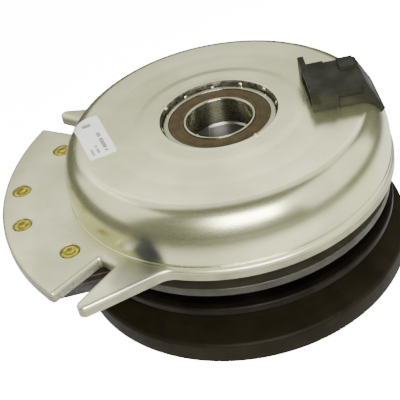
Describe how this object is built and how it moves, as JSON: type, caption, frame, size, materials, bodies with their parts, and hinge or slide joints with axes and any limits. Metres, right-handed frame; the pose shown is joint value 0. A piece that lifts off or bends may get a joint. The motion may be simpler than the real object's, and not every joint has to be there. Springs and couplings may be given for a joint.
{
  "type": "electromagnetic clutch",
  "caption": "Electromagnetic clutch and brake for a mower crankshaft: domed field, torque plate, armature and V-belt pulley on ball bearings.",
  "frame": {"origin": "on the crankshaft bore's axis, in the plane of the mounting plate's underside", "axes": "+Z along the crankshaft towards the engine and the field's dome; -X towards the crescent torque plate; +X towards the connector"},
  "size_m": [0.1777, 0.1514, 0.0815],
  "materials": {
    "field_shell": "zinc-plated drawn steel, soft gloss",
    "inner_pole": "plain steel",
    "coil_bobbin": "moulded plastic",
    "coil_winding": "enamelled copper wire",
    "coil_potting": "epoxy",
    "connector_housing": "moulded plastic, matt",
    "connector_terminals": "tinned brass",
    "coil_leads": "enamelled copper wire",
    "label": "printed sticker",
    "bearing_outer_ring": "ground bearing steel",
    "bearing_seals": "moulded rubber, matt",
    "bearing_inner_ring": "ground bearing steel",
    "bearing_cage": "moulded nylon",
    "bearing_balls": "polished bearing steel",
    "brake_pole_plate": "black-coated steel",
    "brake_magnets": "ferrite, matt",
    "brake_shoe": "black-coated steel",
    "brake_rivets": "brass",
    "rotor_hub": "machined steel",
    "rotor_disc": "black-coated steel",
    "friction_ring": "friction lining",
    "hub_snap_ring": "phosphated spring steel",
    "pulley_bearing_inner_ring": "ground bearing steel",
    "pulley_bearing_outer_ring": "ground bearing steel",
    "pulley_bearing_seals": "moulded rubber, matt",
    "pulley_bearing_cage": "moulded nylon",
    "pulley_bearing_balls": "polished bearing steel",
    "pulley_upper_sheave": "black-painted stamped steel, satin",
    "pulley_lower_sheave": "black-painted stamped steel, satin",
    "sheave_rivets": "black-coated steel",
    "pulley_snap_ring": "phosphated spring steel",
    "spring_spacers": "plain steel",
    "spring_rivets": "plain steel",
    "leaf_springs": "spring steel",
    "armature_plate": "black-coated steel",
    "armature_rivets": "plain steel"
  },
  "bodies": {
    "field": {"field_shell": "field_shell", "inner_pole": "inner_pole", "coil_bobbin": "coil_bobbin", "coil_winding": "coil_winding", "coil_potting": "coil_potting", "connector_housing": "connector_housing", "connector_terminals": "connector_terminals", "coil_leads": "coil_leads", "label": "label", "bearing_outer_ring": "bearing_outer_ring", "bearing_seals": "bearing_seals", "brake_pole_plate": "brake_pole_plate", "brake_magnets": "brake_magnets", "brake_shoe": "brake_shoe", "brake_rivets": "brake_rivets"},
    "bearing_cage": {"bearing_cage": "bearing_cage", "bearing_balls": "bearing_balls"},
    "rotor": {"rotor_hub": "rotor_hub", "rotor_disc": "rotor_disc", "friction_ring": "friction_ring", "bearing_inner_ring": "bearing_inner_ring", "pulley_bearing_inner_ring": "pulley_bearing_inner_ring", "hub_snap_ring": "hub_snap_ring"},
    "pulley_bearing_cage": {"pulley_bearing_cage": "pulley_bearing_cage", "pulley_bearing_balls": "pulley_bearing_balls"},
    "pulley": {"pulley_upper_sheave": "pulley_upper_sheave", "pulley_lower_sheave": "pulley_lower_sheave", "sheave_rivets": "sheave_rivets", "pulley_bearing_outer_ring": "pulley_bearing_outer_ring", "pulley_bearing_seals": "pulley_bearing_seals", "pulley_snap_ring": "pulley_snap_ring", "spring_spacers": "spring_spacers", "spring_rivets": "spring_rivets", "leaf_springs": "leaf_springs"},
    "armature": {"armature_plate": "armature_plate", "armature_rivets": "armature_rivets"}
  },
  "joints": [
    {"name": "rotor_spin", "type": "hinge", "parent": "field", "child": "rotor", "pos_m": [0, 0, 0.02105], "axis": [0, 0, 1], "continuous": true},
    {"name": "field_bearing_roll", "type": "hinge", "parent": "field", "child": "bearing_cage", "pos_m": [0, 0, 0.02105], "axis": [0, 0, 1], "continuous": true},
    {"name": "pulley_spin", "type": "hinge", "parent": "rotor", "child": "pulley", "pos_m": [0, 0, -0.0296], "axis": [0, 0, 1], "continuous": true},
    {"name": "pulley_bearing_roll", "type": "hinge", "parent": "rotor", "child": "pulley_bearing_cage", "pos_m": [0, 0, -0.0296], "axis": [0, 0, 1], "continuous": true},
    {"name": "armature_engage", "type": "slide", "parent": "pulley", "child": "armature", "axis": [0, 0, 1], "range_m": [0, 0.0004], "deforming": ["leaf_springs"]}
  ],
  "couplings": [
    {"joint": "field_bearing_roll", "follows": "rotor_spin", "ratio": 0.4245},
    {"joint": "pulley_bearing_roll", "follows": "pulley_spin", "ratio": 0.5826}
  ]
}
